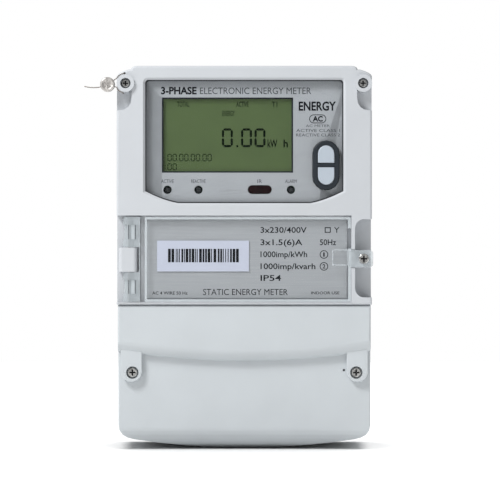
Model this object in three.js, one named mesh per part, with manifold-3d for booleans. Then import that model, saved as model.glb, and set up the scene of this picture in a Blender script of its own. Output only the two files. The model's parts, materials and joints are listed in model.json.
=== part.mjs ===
// Three-phase smart electricity meter for wall mounting, as an assembly of separate pieces.
// Millimetres. +Z is up, the front faces -Y, and the flat back lies in the plane Y = 0.
// The origin is the centre of the back.
import * as THREE from 'three';
import { mergeVertices } from 'three/addons/utils/BufferGeometryUtils.js';
import Module from 'manifold-3d';

const wasm = await Module();
wasm.setup();

// ---------- driving dimensions ----------
const HALF_WIDTH = 85;
const TOP = 127.8;
const DEPTH = 75;
const WALL = 2.5;
const GAP = 0.3; // clearance between neighbouring pieces
const OVERCUT = 5; // how far a cutting solid runs past the face it opens

const FRONT = -DEPTH;
const BASE_FRONT = -32; // rim of the rear tray
const COVER_BACK = BASE_FRONT - GAP;
const SEAM_Z = -31.5; // line where the front cover meets the terminal cover
const COVER_EDGE = 1.8; // rounding of the covers' front edges

const CORNER_X = 71; // the case is solid outside this line at its top corners
const CORNER_Z = 95;
const TOP_SCREW = { x: 79.1, z: 116.1 };
const BOSS_RADIUS = 5.9;
const BOSS_RISE = 1.5;
const SCREW_HOLE_RADIUS = 2.4;
const NOTCH = { inner: 75, bottom: 98, top: 114.1, floor: -70, radius: 9 }; // hollow below each boss

const WINDOW = { halfWidth: 66, top: 118.4, sideBottom: 44.3, bottom: 36.3, bottomHalf: 44 };
const WINDOW_FLARE = 1.5;
const COVER_FACE_WALL = 3;
const LENS_FRONT = FRONT + 1.6;
const LENS_FLANGE = 1.5;

const PANEL_FRONT = -70.2;
const PANEL_THICKNESS = 1;
const LCD = { left: -55, right: 32.6, bottom: 56.7, top: 106.9 };
const LED_SPOTS = { led_active: [-51.3, 45.3], led_reactive: [-30.6, 45.3], led_alarm: [31.1, 45.3] };
const LED_RADIUS = 2.5;
const INFRARED = { x: 10.3, z: 45.4, width: 15.6, height: 5.4 };
const BUTTONS = { x: 54.5, z: 61.6, width: 17.6, height: 32.9, rim: 3, divider: 2.4 };
const BUTTON_FRONT = FRONT - 0.8;
const MAIN_BOARD_BACK = -60;
const BOARD_THICKNESS = 1.6;

const DOOR = { right: 71, top: 27, bottom: -29.4, thickness: 1.9 };
const RECESS_TOP = 28.1;
const RECESS_BOTTOM = -29.8; // a narrow lip of the cover is left between the recess and the seam
const RECESS_FLOOR = -71;
const TROUGH_RIGHT = -69; // the hinge trough runs from here out through the left side
const TROUGH_FLOOR = -66;
const HINGE = { x: -77, y: -70.8 };
const KNUCKLE_RADIUS = 4.2;
const PIN_RADIUS = 1.1;
const HINGE_BLOCK = { left: -83.6, right: -71.5, bottom: -9.4, top: 6.7 };
const TAB = { right: 85.8, bottom: -6.5, top: 5.1 };
const DOOR_SCREW = { x: 79.5, z: -0.7 };
const POCKET = { left: 73.7, bottom: -26.5, top: 25.7, radius: 6.3, floor: -60 };
const PLATE = { left: -65.8, right: 68.5, bottom: -27.1, top: 25.4, thickness: 0.8 };
const LABEL = { left: -58.1, right: 3.1, bottom: -9.2, top: 11.4, thickness: 0.3 };

const LOWER_HALF = 84.3; // half width of the terminal cover
const LOWER_FRONT = -67.5; // its lower face, set back
const TAB_FRONT = -71; // the screw tabs
const PROUD_FRONT = -73.6; // its upper face
const PROUD_SIDE_Z = -62.5;
const PROUD_CENTRE_Z = -69;
const PROUD_ROUND = { reach: 10, rise: 5.8 }; // long soft rounding of the upper face's bowed lower edge
const LOWER_SCREW = { x: 74.7, z: -76.7 };
const LOWER_TAB = { inner: 68.3, outer: 82.5, bottom: -83 };
const SEAL_HOLE = { x: 66.6, z: -75.2, radius: 0.8 }; // beside the right tab, for a seal wire
const BOTTOM = -127.8;
const BOTTOM_FILLET = 15;

const TERMINALS = 10;
const PITCH = 13.2;
const WIRE_Y = -22;
const SOCKET_RADIUS = 3.7;
const CLAMP_BORE_RADIUS = 3.3;
const CLAMP_SIZE = 8.6;
const TERMINAL_SCREW_Z = -55;
const BLOCK = { half: 67.5, top: -34.5, bottom: -84, back: -3, front: -46 };
const CLAMP = { top: -38, bottom: -69.5 };

const HANGER = { halfWidth: 17, bottom: 92, top: 126, back: -0.9, thickness: 2.2 };
const BACK_PANELS = [[-88, -32], [-27, 28], [33, 84]]; // sunk panels of the back, by height
const BACK_PANEL_DEPTH = 0.8;
const BACK_RIB = 5; // half width of the rib between the two columns of panels
const HANGER_HOLE = { z: 118, radius: 3.2 };
const HANGER_PAD = { halfWidth: 13, bottom: 94, top: 125, face: -0.2 };
const LUG = { x: 75, z: -98, radius: 6.6, rise: 5, slotWidth: 6.4, slotHeight: 9.4 };

// Lead seal: its disc, the wire from the tail through the disc over the left boss and into the cover,
// and the wire's return from the notch under the boss into the disc.
const SEAL = { x: -90.9, y: FRONT - 0.9, z: 115.1, radius: 5, thickness: 3.6, wireRadius: 0.4, bore: 0.85 };
const SEAL_LOOP_RADIUS = BOSS_RADIUS + 0.7;
const SEAL_ROUTE = [
  ...[[-106.4, 113.9], [-103, 113.3], [-99.6, 113.1], [-96.3, 113.4]].map(inSealPlane),
  ...[[-93.5, 114.3], [-90.5, 115.5], [-87.6, 117.3]].map(inSealPlane),
  ...[148, 135, 120, 106].map(roundBoss),
  new THREE.Vector3(-TOP_SCREW.x - 0.6, SEAL.y + 1, TOP_SCREW.z + SEAL_LOOP_RADIUS),
  new THREE.Vector3(-TOP_SCREW.x - 0.3, SEAL.y + 3, TOP_SCREW.z + SEAL_LOOP_RADIUS),
];
const SEAL_RETURN = [
  ...[[-89.4, 114.4], [-87.4, 114]].map(inSealPlane),
  ...[205, 220, 235, 248].map(roundBoss),
  new THREE.Vector3(-TOP_SCREW.x - 1.6, SEAL.y + 1.2, TOP_SCREW.z - SEAL_LOOP_RADIUS),
  new THREE.Vector3(-TOP_SCREW.x - 1.4, SEAL.y + 3.4, TOP_SCREW.z - SEAL_LOOP_RADIUS),
];

function inSealPlane([x, z]) {
  return new THREE.Vector3(x, SEAL.y, z);
}

// A point of the seal wire beside the left boss, at an angle from +X.
function roundBoss(degrees) {
  const angle = THREE.MathUtils.degToRad(degrees);
  const x = -TOP_SCREW.x + SEAL_LOOP_RADIUS * Math.cos(angle);
  const z = TOP_SCREW.z + SEAL_LOOP_RADIUS * Math.sin(angle);
  return new THREE.Vector3(x, SEAL.y, z);
}

// ---------- shapes, drawn in the X-Z plane unless said otherwise ----------
function rectangle(left, right, bottom, top) {
  const s = new THREE.Shape();
  s.moveTo(left, bottom);
  s.lineTo(right, bottom);
  s.lineTo(right, top);
  s.lineTo(left, top);
  s.closePath();
  return s;
}

function roundedRectangle(left, right, bottom, top, radius) {
  const s = new THREE.Shape();
  s.moveTo(left + radius, bottom);
  s.lineTo(right - radius, bottom);
  s.absarc(right - radius, bottom + radius, radius, -Math.PI / 2, 0);
  s.lineTo(right, top - radius);
  s.absarc(right - radius, top - radius, radius, 0, Math.PI / 2);
  s.lineTo(left + radius, top);
  s.absarc(left + radius, top - radius, radius, Math.PI / 2, Math.PI);
  s.lineTo(left, bottom + radius);
  s.absarc(left + radius, bottom + radius, radius, Math.PI, Math.PI * 1.5);
  return s;
}

// A slot shape: two half circles joined by straight sides, long way up or across.
function pill(x, z, width, height) {
  const s = new THREE.Shape();
  const radius = Math.min(width, height) / 2;
  const reach = Math.abs(width - height) / 2;
  if (height > width) {
    s.absarc(x, z - reach, radius, Math.PI, Math.PI * 2);
    s.absarc(x, z + reach, radius, 0, Math.PI);
  } else {
    s.absarc(x + reach, z, radius, -Math.PI / 2, Math.PI / 2);
    s.absarc(x - reach, z, radius, Math.PI / 2, Math.PI * 1.5);
  }
  return s;
}

function circle(x, z, radius) {
  const s = new THREE.Shape();
  s.absarc(x, z, radius, 0, Math.PI * 2);
  return s;
}

// The case's upper edge, from its right side over the sloping ears and the flat top to its left.
function traceTop(s) {
  const earTop = TOP - 2.4;
  const shoulder = CORNER_X + 4.5;
  s.lineTo(HALF_WIDTH, earTop - 4.6);
  s.quadraticCurveTo(HALF_WIDTH - 0.6, earTop - 2, HALF_WIDTH - 8, earTop);
  s.lineTo(shoulder, earTop);
  s.quadraticCurveTo(shoulder - 0.4, TOP, CORNER_X, TOP);
  s.lineTo(-CORNER_X, TOP);
  s.quadraticCurveTo(-shoulder + 0.4, TOP, -shoulder, earTop);
  s.lineTo(-HALF_WIDTH + 8, earTop);
  s.quadraticCurveTo(-HALF_WIDTH + 0.6, earTop - 2, -HALF_WIDTH, earTop - 4.6);
}

// The case's lower edge, bowed downwards, from its left side to its right.
function traceBottom(s, half) {
  const cornerTop = BOTTOM + 16;
  const bowEnd = { x: half - 11.5, z: BOTTOM + 6 };
  s.lineTo(-half, cornerTop);
  s.quadraticCurveTo(-half, bowEnd.z + 1.5, -bowEnd.x, bowEnd.z);
  s.quadraticCurveTo(-bowEnd.x / 2, BOTTOM, 0, BOTTOM);
  s.quadraticCurveTo(bowEnd.x / 2, BOTTOM, bowEnd.x, bowEnd.z);
  s.quadraticCurveTo(half, bowEnd.z + 1.5, half, cornerTop);
}

function baseOutline() {
  const s = new THREE.Shape();
  s.moveTo(-HALF_WIDTH, 0);
  traceBottom(s, HALF_WIDTH);
  traceTop(s);
  s.closePath();
  return s;
}

function frontCoverOutline() {
  const s = new THREE.Shape();
  s.moveTo(-HALF_WIDTH, SEAM_Z + GAP / 2);
  s.lineTo(HALF_WIDTH, SEAM_Z + GAP / 2);
  traceTop(s);
  s.closePath();
  return s;
}

function terminalCoverOutline() {
  const s = new THREE.Shape();
  s.moveTo(-LOWER_HALF, SEAM_Z - GAP / 2);
  traceBottom(s, LOWER_HALF);
  s.lineTo(LOWER_HALF, SEAM_Z - GAP / 2);
  s.closePath();
  return s;
}

// The raised upper face of the terminal cover. Only its bowed lower edge shows: the rest is trimmed.
function proudOutline() {
  const s = new THREE.Shape();
  const wide = HALF_WIDTH + 20;
  s.moveTo(-wide, SEAM_Z + 20);
  s.lineTo(-wide, PROUD_SIDE_Z);
  s.lineTo(-LOWER_HALF, PROUD_SIDE_Z);
  s.quadraticCurveTo(-LOWER_HALF / 2, PROUD_CENTRE_Z, 0, PROUD_CENTRE_Z);
  s.quadraticCurveTo(LOWER_HALF / 2, PROUD_CENTRE_Z, LOWER_HALF, PROUD_SIDE_Z);
  s.lineTo(wide, PROUD_SIDE_Z);
  s.lineTo(wide, SEAM_Z + 20);
  s.closePath();
  return s;
}

// The display window, a rectangle whose lower corners are cut off by shallow curves.
function windowOutline(grow = 0) {
  const s = new THREE.Shape();
  const half = WINDOW.halfWidth + grow;
  const top = WINDOW.top + grow;
  const bottom = WINDOW.bottom - grow;
  const cut = { x: 54, z: 38 };
  const radius = 2;
  s.moveTo(-WINDOW.bottomHalf, bottom);
  s.lineTo(WINDOW.bottomHalf, bottom);
  s.quadraticCurveTo(cut.x + grow * 0.4, cut.z - grow * 1.2, half, WINDOW.sideBottom - grow * 0.2);
  s.lineTo(half, top - radius);
  s.absarc(half - radius, top - radius, radius, 0, Math.PI / 2);
  s.lineTo(-half + radius, top);
  s.absarc(-half + radius, top - radius, radius, Math.PI / 2, Math.PI);
  s.lineTo(-half, WINDOW.sideBottom - grow * 0.2);
  s.quadraticCurveTo(-cut.x - grow * 0.4, cut.z - grow * 1.2, -WINDOW.bottomHalf, bottom);
  return s;
}

// ---------- solids ----------
function solid(geometry) {
  geometry.deleteAttribute('normal');
  geometry.deleteAttribute('uv');
  const merged = mergeVertices(geometry, 1e-4);
  return new wasm.Manifold(new wasm.Mesh({
    numProp: 3,
    vertProperties: new Float32Array(merged.attributes.position.array),
    triVerts: new Uint32Array(merged.index.array),
  }));
}

const axes = {
  x: new THREE.Vector3(1, 0, 0),
  y: new THREE.Vector3(0, 1, 0),
  z: new THREE.Vector3(0, 0, 1),
  front: new THREE.Vector3(0, -1, 0),
};
const TO_FRONT = new THREE.Matrix4().makeBasis(axes.x, axes.z, axes.front);
const TO_SIDE = new THREE.Matrix4().makeBasis(axes.y, axes.z, axes.x);
const CURVE_STEPS = 4;
const FINE_SIDES = 20; // sides of a large round
const SMALL_SIDES = 12; // sides of a small round

// An X-Z outline made thick from back to front.
function prism(shape, back, front, curveSegments = CURVE_STEPS) {
  const geometry = new THREE.ExtrudeGeometry(shape, {
    depth: back - front, bevelEnabled: false, curveSegments,
  });
  return solid(geometry.applyMatrix4(TO_FRONT).translate(0, back, 0));
}

// The same, with its front edge rounded inwards by a radius, or flared outwards by a negative one. The
// rise is how far back the rounding starts, and differs from the radius where it is elliptical.
function edgedPrism(shape, back, front, edge, bevelSegments = 3, rise = Math.abs(edge)) {
  const geometry = new THREE.ExtrudeGeometry(shape, {
    depth: back - front - rise,
    bevelEnabled: true,
    bevelThickness: rise,
    bevelSize: edge,
    bevelOffset: -edge,
    bevelSegments,
    curveSegments: CURVE_STEPS,
  });
  const whole = solid(geometry.applyMatrix4(TO_FRONT).translate(0, back, 0));
  const behind = box(-200, 200, back, back + 50, -200, 200);
  return whole.subtract(behind);
}

// A Y-Z profile made wide from one X to another.
function sideways(shape, left, right, curveSegments = CURVE_STEPS) {
  const geometry = new THREE.ExtrudeGeometry(shape, {
    depth: right - left, bevelEnabled: false, curveSegments,
  });
  return solid(geometry.applyMatrix4(TO_SIDE).translate(left, 0, 0));
}

// An X-Y profile made tall from one Z to another.
function upright(shape, bottom, top, curveSegments = CURVE_STEPS) {
  const geometry = new THREE.ExtrudeGeometry(shape, {
    depth: top - bottom, bevelEnabled: false, curveSegments,
  });
  return solid(geometry.translate(0, 0, bottom));
}

function box(left, right, front, back, bottom, top) {
  const geometry = new THREE.BoxGeometry(right - left, back - front, top - bottom);
  return solid(geometry.translate((left + right) / 2, (front + back) / 2, (bottom + top) / 2));
}

function rodY(x, z, radius, back, front, sides = FINE_SIDES, frontRadius = radius) {
  const geometry = new THREE.CylinderGeometry(radius, frontRadius, back - front, sides);
  return solid(geometry.translate(x, (back + front) / 2, z));
}

function rodZ(x, y, radius, bottom, top, sides = FINE_SIDES, topRadius = radius) {
  const geometry = new THREE.CylinderGeometry(topRadius, radius, top - bottom, sides);
  return solid(geometry.rotateX(Math.PI / 2).translate(x, y, (bottom + top) / 2));
}

function rodX(y, z, radius, left, right, sides = FINE_SIDES) {
  const geometry = new THREE.CylinderGeometry(radius, radius, right - left, sides);
  return solid(geometry.rotateZ(Math.PI / 2).translate((left + right) / 2, y, z));
}

// A round wire along a smooth curve through the given points.
function wire(points, radius) {
  const extrudePath = new THREE.CatmullRomCurve3(points);
  const steps = points.length * 3;
  const geometry = new THREE.ExtrudeGeometry(circle(0, 0, radius), { steps, extrudePath, curveSegments: 3 });
  return solid(geometry);
}

function join(...solids) {
  return solids.reduce((whole, piece) => whole.add(piece));
}

function cut(body, ...cutters) {
  return cutters.reduce((rest, cutter) => rest.subtract(cutter), body);
}

// ---------- materials ----------
function finish(color, roughness, metalness = 0, opacity = 1) {
  return new THREE.MeshStandardMaterial({
    color, roughness, metalness, opacity, transparent: opacity < 1,
  });
}

const caseGrey = finish(0xd6dbe2, 0.5);
const baseGrey = finish(0xb9bec4, 0.55);
const lowerGrey = finish(0xd0d6da, 0.5);
const clear = finish(0xe6edf0, 0.1, 0, 0.35);
const panelGrey = finish(0xabafb3, 0.5);
const lcdGreen = finish(0x576a48, 0.3);
const darkPlastic = finish(0x2d3239, 0.45);
const buttonGrey = finish(0xa9b4c2, 0.45);
const ledGrey = finish(0x4c4543, 0.3);
const infraredRed = finish(0x3a1216, 0.2);
const plateGrey = finish(0xa9aeb2, 0.4, 0.3);
const labelWhite = finish(0xd9dee4, 0.6);
const steel = finish(0xb5b8ba, 0.35, 1);
const brass = finish(0xc2a25a, 0.35, 1);
const copper = finish(0xb87352, 0.35, 1);
const boardGreen = finish(0x1f5a3a, 0.5);
const blockGrey = finish(0x4a4e53, 0.6);
const ferrite = finish(0x2a2c2e, 0.7);
const leadGrey = finish(0x9c958b, 0.5, 0.8);
const batteryWrap = finish(0x3b5c86, 0.4);
const backlightWhite = finish(0xe9efe0, 0.6);

// ---------- the assembly ----------
const group = new THREE.Group();

function addPiece(name, body, material) {
  const { vertProperties, triVerts } = body.getMesh();
  const geometry = new THREE.BufferGeometry();
  geometry.setAttribute('position', new THREE.BufferAttribute(new Float32Array(vertProperties), 3));
  geometry.setIndex(new THREE.BufferAttribute(new Uint32Array(triVerts), 1));
  geometry.computeVertexNormals();
  const mesh = new THREE.Mesh(geometry, material);
  mesh.name = name;
  group.add(mesh);
}

const sides = [-1, 1];
const terminalX = (i) => (i - (TERMINALS - 1) / 2) * PITCH;

// A cheese-head screw that points backwards, with a cross recess in its head.
function screw(x, z, headFront, headHeight, headRadius, shankRadius, tipY) {
  const headBack = headFront + headHeight;
  const recess = { depth: headHeight * 0.5, width: headRadius * 0.32, length: headRadius * 0.62 };
  const slot = box(
    x - recess.length, x + recess.length, headFront - 1, headFront + recess.depth,
    z - recess.width / 2, z + recess.width / 2,
  );
  const crossSlot = box(
    x - recess.width / 2, x + recess.width / 2, headFront - 1, headFront + recess.depth,
    z - recess.length, z + recess.length,
  );
  const chamfer = headRadius * 0.12;
  const head = join(
    rodY(x, z, headRadius, headBack, headFront + chamfer),
    rodY(x, z, headRadius, headFront + chamfer, headFront, FINE_SIDES, headRadius - chamfer),
  );
  return cut(join(head, rodY(x, z, shankRadius, tipY, headBack - 0.2, SMALL_SIDES)), slot, crossSlot);
}

// A short slotted screw for a terminal clamp.
function terminalScrew(x) {
  const headFront = -33.5;
  const headBack = headFront + 3.5;
  const headRadius = 3.2;
  const tipY = WIRE_Y - CLAMP_BORE_RADIUS - GAP;
  const z = TERMINAL_SCREW_Z;
  return cut(
    join(rodY(x, z, headRadius, headBack, headFront, SMALL_SIDES), rodY(x, z, 1.9, tipY, headBack - 0.2, 8)),
    box(x - headRadius - 1, x + headRadius + 1, headFront - 1, headFront + 1.4, z - 0.5, z + 0.5),
  );
}

// Rear tray: floor, rim, solid top corners, screw posts, board posts, fixing lugs and a ribbed back.
function baseCase() {
  const floor = -WALL;
  const bottomCavity = BOTTOM + 9;
  const lowerCavity = BOTTOM + 4;
  const inner = HALF_WIDTH - WALL;
  let body = prism(baseOutline(), 0, BASE_FRONT);
  body = cut(
    body,
    prism(roundedRectangle(-inner, inner, bottomCavity, CORNER_Z, 6), floor, BASE_FRONT - OVERCUT),
    prism(rectangle(-CORNER_X, CORNER_X, CORNER_Z - 3, TOP - WALL), floor, BASE_FRONT - OVERCUT),
    prism(rectangle(-58, 58, lowerCavity, bottomCavity + 3), floor, BASE_FRONT - OVERCUT),
    box(-66, 66, BASE_FRONT - OVERCUT, -6, BOTTOM - OVERCUT, bottomCavity + 3),
  );
  const hangerPad = box(-22, 22, -6.4, floor + 0.5, HANGER.bottom - 7, TOP - WALL + 0.5);
  body = join(body, hangerPad);
  for (const side of sides) {
    body = join(
      body,
      rodY(side * LOWER_SCREW.x, LOWER_SCREW.z, 5, floor + 0.5, -30),
      rodY(side * LUG.x, LUG.z, LUG.radius, floor + 0.5, -LUG.rise),
      rodY(side * 55, 44, 3.5, floor + 0.5, -9.7, SMALL_SIDES),
      rodY(side * 55, 104, 3.5, floor + 0.5, -9.7, SMALL_SIDES),
      box(Math.min(side * inner, side * 79), Math.max(side * inner, side * 79), -30, floor + 0.5, 20, 22),
    );
    body = cut(
      body,
      rodY(side * LOWER_SCREW.x, LOWER_SCREW.z, SCREW_HOLE_RADIUS, -8, -30 - OVERCUT, SMALL_SIDES),
      prism(pill(side * LUG.x, LUG.z, LUG.slotWidth, LUG.slotHeight), OVERCUT, -LUG.rise - OVERCUT),
      rodY(side * TOP_SCREW.x, TOP_SCREW.z, SCREW_HOLE_RADIUS, -10, BASE_FRONT - OVERCUT, SMALL_SIDES),
    );
  }
  for (const [bottom, top] of BACK_PANELS) {
    for (const side of sides) {
      const left = Math.min(side * BACK_RIB, side * 78);
      const right = Math.max(side * BACK_RIB, side * 78);
      body = cut(body, prism(roundedRectangle(left, right, bottom, top, 4), OVERCUT, -BACK_PANEL_DEPTH));
    }
  }
  const slide = HANGER.halfWidth + GAP;
  const slideFront = HANGER.back - HANGER.thickness - GAP;
  return cut(
    body,
    box(-slide, slide, slideFront, HANGER.back + GAP, HANGER.bottom - 2, TOP + OVERCUT),
    box(-slide + 3, slide - 3, HANGER.back, OVERCUT, HANGER.bottom - 2, TOP + OVERCUT),
  );
}

// Steel hanger that slides up out of the back to hang the meter on a screw. Its raised pad fills the
// gap between the guides that hold its edges.
function hangerPlate() {
  const { halfWidth, bottom, top, back, thickness } = HANGER;
  const pad = HANGER_PAD;
  const plate = join(
    prism(roundedRectangle(-halfWidth, halfWidth, bottom, top, 5), back, back - thickness),
    prism(roundedRectangle(-pad.halfWidth, pad.halfWidth, pad.bottom, pad.top, 4), pad.face, back - 0.5),
  );
  const neck = { half: 2.3, top: HANGER_HOLE.z + 5.5 };
  const through = -10;
  return cut(
    plate,
    rodY(0, HANGER_HOLE.z, HANGER_HOLE.radius, OVERCUT, through, SMALL_SIDES),
    prism(rectangle(-neck.half, neck.half, HANGER_HOLE.z, neck.top), OVERCUT, through),
    prism(pill(0, bottom + 10, 16, 5), OVERCUT, through),
  );
}

// The hollow under a top screw's boss, open at the side, with a concave lower inner corner.
function notchOutline(side) {
  const { inner, bottom, top, radius } = NOTCH;
  const outer = HALF_WIDTH + 20;
  const s = new THREE.Shape();
  s.moveTo(side * inner, top);
  s.lineTo(side * outer, top);
  s.lineTo(side * outer, bottom);
  s.lineTo(side * (inner + radius), bottom);
  s.quadraticCurveTo(side * inner, bottom, side * inner, bottom + radius);
  s.closePath();
  return s;
}

// Front cover: shell with the display window, door recess, hinge trough, finger pocket and bosses.
function frontCover() {
  const inner = HALF_WIDTH - WALL;
  const back = COVER_BACK + 1;
  const divider = 31.5; // above it the shell is hollow right up to the window wall
  const lowZ = SEAM_Z + WALL;
  let body = edgedPrism(frontCoverOutline(), COVER_BACK, FRONT, COVER_EDGE);
  body = cut(
    body,
    prism(rectangle(-inner, inner, divider, CORNER_Z), back, FRONT + COVER_FACE_WALL),
    prism(rectangle(-CORNER_X, CORNER_X, CORNER_Z - 1, TOP - WALL), back, FRONT + COVER_FACE_WALL),
    prism(rectangle(-64, 68.5, lowZ, divider + 1), back, RECESS_FLOOR + WALL),
    prism(rectangle(-inner, inner, lowZ, divider + 1), back, POCKET.floor + WALL),
    edgedPrism(windowOutline(), -68, FRONT - 0.1, -WINDOW_FLARE, 1),
    box(TROUGH_RIGHT, DOOR.right + GAP, FRONT - OVERCUT, RECESS_FLOOR, RECESS_BOTTOM, RECESS_TOP),
    box(-HALF_WIDTH - OVERCUT, TROUGH_RIGHT + 0.1, FRONT - OVERCUT, TROUGH_FLOOR, RECESS_BOTTOM, RECESS_TOP),
    prism(
      roundedRectangle(POCKET.left, HALF_WIDTH + 20, POCKET.bottom, POCKET.top, POCKET.radius),
      POCKET.floor, FRONT - OVERCUT,
    ),
    box(DOOR.right, POCKET.left + 1, FRONT - OVERCUT, -72.3, TAB.bottom - 0.5, TAB.top + 0.5),
    box(68.8, DOOR.right + GAP, FRONT - OVERCUT, RECESS_FLOOR + 1.5, 6.1, 19.6),
  );
  const block = roundedRectangle(HINGE_BLOCK.left, HINGE_BLOCK.right, FRONT, TROUGH_FLOOR + 1, 2.5);
  const pillar = rodY(DOOR_SCREW.x, DOOR_SCREW.z, 4.5, POCKET.floor + 0.5, -72.3);
  body = join(body, upright(block, HINGE_BLOCK.bottom, HINGE_BLOCK.top), pillar);
  for (const side of sides) {
    const { x, z } = TOP_SCREW;
    const cornerLeft = Math.min(side * (CORNER_X + 2.5), side * inner);
    const cornerRight = Math.max(side * (CORNER_X + 2.5), side * inner);
    body = cut(
      body,
      prism(rectangle(cornerLeft, cornerRight, CORNER_Z - 1, NOTCH.top - 5), back, NOTCH.floor + WALL),
      prism(notchOutline(side), NOTCH.floor, FRONT - OVERCUT),
    );
    body = join(body, rodY(side * x, z, BOSS_RADIUS, COVER_BACK, FRONT - BOSS_RISE));
    for (const postZ of [44, 86]) {
      const boardFront = MAIN_BOARD_BACK - BOARD_THICKNESS - GAP;
      body = join(body, rodY(side * 74, postZ, 3, boardFront, FRONT + 2, SMALL_SIDES));
    }
    body = cut(
      body,
      rodY(side * x, z, 3.5, -71.6, FRONT - OVERCUT),
      rodY(side * x, z, SCREW_HOLE_RADIUS, BASE_FRONT + OVERCUT, FRONT - OVERCUT, SMALL_SIDES),
    );
  }
  return cut(
    body,
    wire(SEAL_ROUTE, SEAL.bore),
    rodZ(HINGE.x, HINGE.y, PIN_RADIUS + GAP, HINGE_BLOCK.bottom - 1, HINGE_BLOCK.top + 1, SMALL_SIDES),
    rodY(DOOR_SCREW.x, DOOR_SCREW.z, SCREW_HOLE_RADIUS, POCKET.floor - 4, FRONT - OVERCUT, SMALL_SIDES),
  );
}

// Clear door: pane, knuckles in pairs above and below the fixed hinge block, and the screw tab.
function clearDoor() {
  const back = FRONT + DOOR.thickness;
  const paneLeft = TROUGH_RIGHT - 1;
  const pane = roundedRectangle(paneLeft, DOOR.right, DOOR.bottom, DOOR.top, 0.8);
  let body = edgedPrism(pane, back, FRONT, 0.5, 2);
  const ranges = [
    [HINGE_BLOCK.top + GAP, DOOR.top],
    [DOOR.bottom, HINGE_BLOCK.bottom - GAP],
  ];
  const endLength = 5;
  for (const [bottom, top] of ranges) {
    body = join(
      body,
      box(HINGE.x, paneLeft + 1, FRONT, back, bottom, top),
      rodZ(HINGE.x, HINGE.y, KNUCKLE_RADIUS, bottom, bottom + endLength),
      rodZ(HINGE.x, HINGE.y, KNUCKLE_RADIUS - 1, bottom, top),
      rodZ(HINGE.x, HINGE.y, KNUCKLE_RADIUS, top - endLength, top),
    );
    body = cut(
      body,
      box(HINGE.x - 6, paneLeft - 1.2, FRONT - 1, FRONT + 1, bottom + endLength, top - endLength),
      rodZ(HINGE.x, HINGE.y, PIN_RADIUS + GAP, bottom - 1, top + 1, SMALL_SIDES),
    );
  }
  const tab = roundedRectangle(DOOR.right - 2, TAB.right, TAB.bottom, TAB.top, 2.5);
  body = join(body, edgedPrism(tab, -72.6, FRONT - 0.3, 0.5, 2));
  return cut(
    body,
    rodY(DOOR_SCREW.x, DOOR_SCREW.z, SCREW_HOLE_RADIUS, -70, FRONT - OVERCUT, SMALL_SIDES),
    box(69, DOOR.right + 1, FRONT - 1, back + 1, 6.1, 19.6),
  );
}

// Y-Z outline of the terminal cover seen from the side, with a large round at its lower front.
function terminalCoverSide(inset, fillet) {
  const s = new THREE.Shape();
  const front = LOWER_FRONT + inset;
  const bottom = BOTTOM + inset;
  s.moveTo(COVER_BACK + 20, SEAM_Z);
  s.lineTo(COVER_BACK + 20, bottom);
  s.lineTo(front + fillet, bottom);
  s.absarc(front + fillet, bottom + fillet, fillet, -Math.PI / 2, -Math.PI, true);
  s.lineTo(front, SEAM_Z);
  s.closePath();
  return s;
}

function terminalCover() {
  const topZ = SEAM_Z - GAP / 2;
  const wide = HALF_WIDTH + OVERCUT;
  const inner = LOWER_HALF - WALL;
  const outline = terminalCoverOutline();
  const lower = edgedPrism(outline, COVER_BACK, LOWER_FRONT, 1.2, 2)
    .intersect(sideways(terminalCoverSide(0, BOTTOM_FILLET), -wide, wide));
  const { reach, rise } = PROUD_ROUND;
  const proud = edgedPrism(proudOutline(), LOWER_FRONT + 5, PROUD_FRONT, reach, 6, rise)
    .intersect(edgedPrism(outline, COVER_BACK, PROUD_FRONT, COVER_EDGE));
  const hollowOutline = roundedRectangle(-inner, inner, BOTTOM + 8.5, topZ - WALL, 6);
  const hollow = prism(hollowOutline, COVER_BACK + 1, LOWER_FRONT + WALL)
    .intersect(sideways(terminalCoverSide(WALL, BOTTOM_FILLET - WALL), -wide, wide));
  let body = join(lower, proud);
  for (const side of sides) {
    const left = Math.min(side * LOWER_TAB.inner, side * LOWER_TAB.outer);
    const right = Math.max(side * LOWER_TAB.inner, side * LOWER_TAB.outer);
    const radius = (right - left) / 2 - 0.2;
    const tab = roundedRectangle(left, right, LOWER_TAB.bottom, PROUD_SIDE_Z + 18, radius);
    body = join(body, edgedPrism(tab, LOWER_FRONT + 2, TAB_FRONT, 0.7, 2));
  }
  body = cut(
    body,
    hollow,
    prism(rectangle(-63, 63, PROUD_SIDE_Z + 5, topZ - WALL), COVER_BACK + 1, PROUD_FRONT + WALL + 0.5),
  );
  for (const side of sides) {
    const { x, z } = LOWER_SCREW;
    body = join(body, rodY(side * x, z, 5.6, -38, LOWER_FRONT - 0.5));
    body = cut(
      body,
      rodY(side * x, z, 4.2, LOWER_FRONT + 0.5, PROUD_FRONT - OVERCUT),
      rodY(side * x, z, SCREW_HOLE_RADIUS, COVER_BACK, PROUD_FRONT - OVERCUT, SMALL_SIDES),
    );
  }
  return cut(
    body,
    rodY(SEAL_HOLE.x, SEAL_HOLE.z, SEAL_HOLE.radius, LOWER_FRONT + WALL + 1, LOWER_FRONT - 1, SMALL_SIDES),
  );
}

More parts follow.
